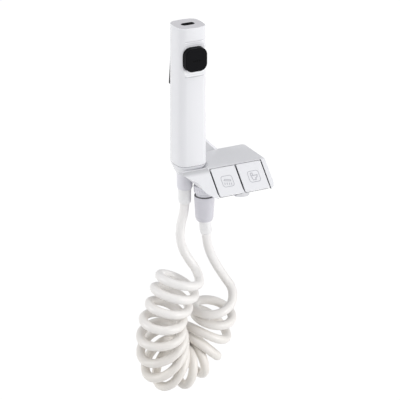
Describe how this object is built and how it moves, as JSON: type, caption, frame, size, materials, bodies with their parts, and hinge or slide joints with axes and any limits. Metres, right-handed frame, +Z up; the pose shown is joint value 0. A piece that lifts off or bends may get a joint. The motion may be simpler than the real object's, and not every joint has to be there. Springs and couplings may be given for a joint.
{
  "type": "handheld bidet shower",
  "caption": "White handheld bidet shower: a two-key wall stop valve, a square handset standing in its fork with a black thumb button, and a coiled hose.",
  "frame": {"origin": "axis of the wall inlet where its threaded nipple leaves the valve's back face", "axes": "+X along the keys to the right, +Y along the inlet into the wall, +Z up"},
  "size_m": [0.1618, 0.0931, 0.4698],
  "materials": {
    "white_gloss_plastic": "gloss",
    "black_gloss_plastic": "gloss",
    "black_rubber": "satin",
    "hose_cream": "satin",
    "brass_plated": "polished",
    "white_acetal": "matte",
    "steel": "brushed",
    "steel_mesh": "matte"
  },
  "bodies": {
    "root": {"valve_housing": "white_gloss_plastic", "valve_base": "white_gloss_plastic", "base_screws": "steel", "manifold": "brass_plated", "inlet_filter": "steel_mesh", "key_axle": "steel", "cartridge_sprayer": "white_acetal", "cartridge_tank": "white_acetal", "key_spring_sprayer": "steel", "key_spring_tank": "steel", "neck_ring": "black_gloss_plastic", "hose_nut": "white_gloss_plastic", "outlet_washer": "black_rubber", "hose_tailpiece": "brass_plated", "hose_cuff_lower": "white_gloss_plastic", "hose_lead_lower": "hose_cream", "hose_coil": "hose_cream", "hose_lead_upper": "hose_cream", "hose_cuff_upper": "white_gloss_plastic", "tail_nut": "white_gloss_plastic", "tail_cone": "white_gloss_plastic", "handset_shell": "white_gloss_plastic", "handset_cap": "white_gloss_plastic", "jet_nozzle": "white_acetal", "jet_lip": "black_rubber", "waterway": "white_acetal", "trigger_pin": "steel", "trigger_spring": "steel", "button_spring": "steel"},
    "sprayer_key": {"key_sprayer": "white_gloss_plastic"},
    "tank_key": {"key_tank": "white_gloss_plastic"},
    "sprayer_stem": {"stem_sprayer": "steel", "stem_seal_sprayer": "black_rubber"},
    "tank_stem": {"stem_tank": "steel", "stem_seal_tank": "black_rubber"},
    "lever": {"trigger_lever": "black_gloss_plastic"},
    "plunger": {"trigger_plunger": "steel", "plunger_seal": "black_rubber"},
    "button": {"mode_button": "black_gloss_plastic", "mode_spool": "white_acetal"}
  },
  "joints": [
    {"name": "sprayer_key_press", "type": "hinge", "parent": "root", "child": "sprayer_key", "pos_m": [-0.015, -0.05301, 0.00848], "axis": [1, 0, 0], "range_deg": [0, 6], "stiffness_Nm_per_rad": 0.8},
    {"name": "sprayer_stem_slide", "type": "slide", "parent": "root", "child": "sprayer_stem", "axis": [0, 1, 0], "range_m": [0, 0.0011], "deforming": ["key_spring_sprayer"]},
    {"name": "tank_key_press", "type": "hinge", "parent": "root", "child": "tank_key", "pos_m": [0.02, -0.05301, 0.00848], "axis": [1, 0, 0], "range_deg": [0, 6], "stiffness_Nm_per_rad": 0.8},
    {"name": "tank_stem_slide", "type": "slide", "parent": "root", "child": "tank_stem", "axis": [0, 1, 0], "range_m": [0, 0.0011], "deforming": ["key_spring_tank"]},
    {"name": "lever_squeeze", "type": "hinge", "parent": "root", "child": "lever", "pos_m": [-0.046, -0.0131, 0.149], "axis": [-1, 0, 0], "range_deg": [0, 6], "stiffness_Nm_per_rad": 0.8},
    {"name": "plunger_slide", "type": "slide", "parent": "root", "child": "plunger", "axis": [0, -1, 0], "range_m": [0, 0.0022], "deforming": ["trigger_spring"]},
    {"name": "button_press", "type": "slide", "parent": "root", "child": "button", "axis": [0, 1, 0], "range_m": [0, 0.002], "stiffness_N_per_m": 500, "deforming": ["button_spring"]}
  ],
  "couplings": [
    {"joint": "sprayer_stem_slide", "follows": "sprayer_key_press", "m_per_rad": 0.01048},
    {"joint": "tank_stem_slide", "follows": "tank_key_press", "m_per_rad": 0.01048},
    {"joint": "plunger_slide", "follows": "lever_squeeze", "m_per_rad": 0.021}
  ]
}
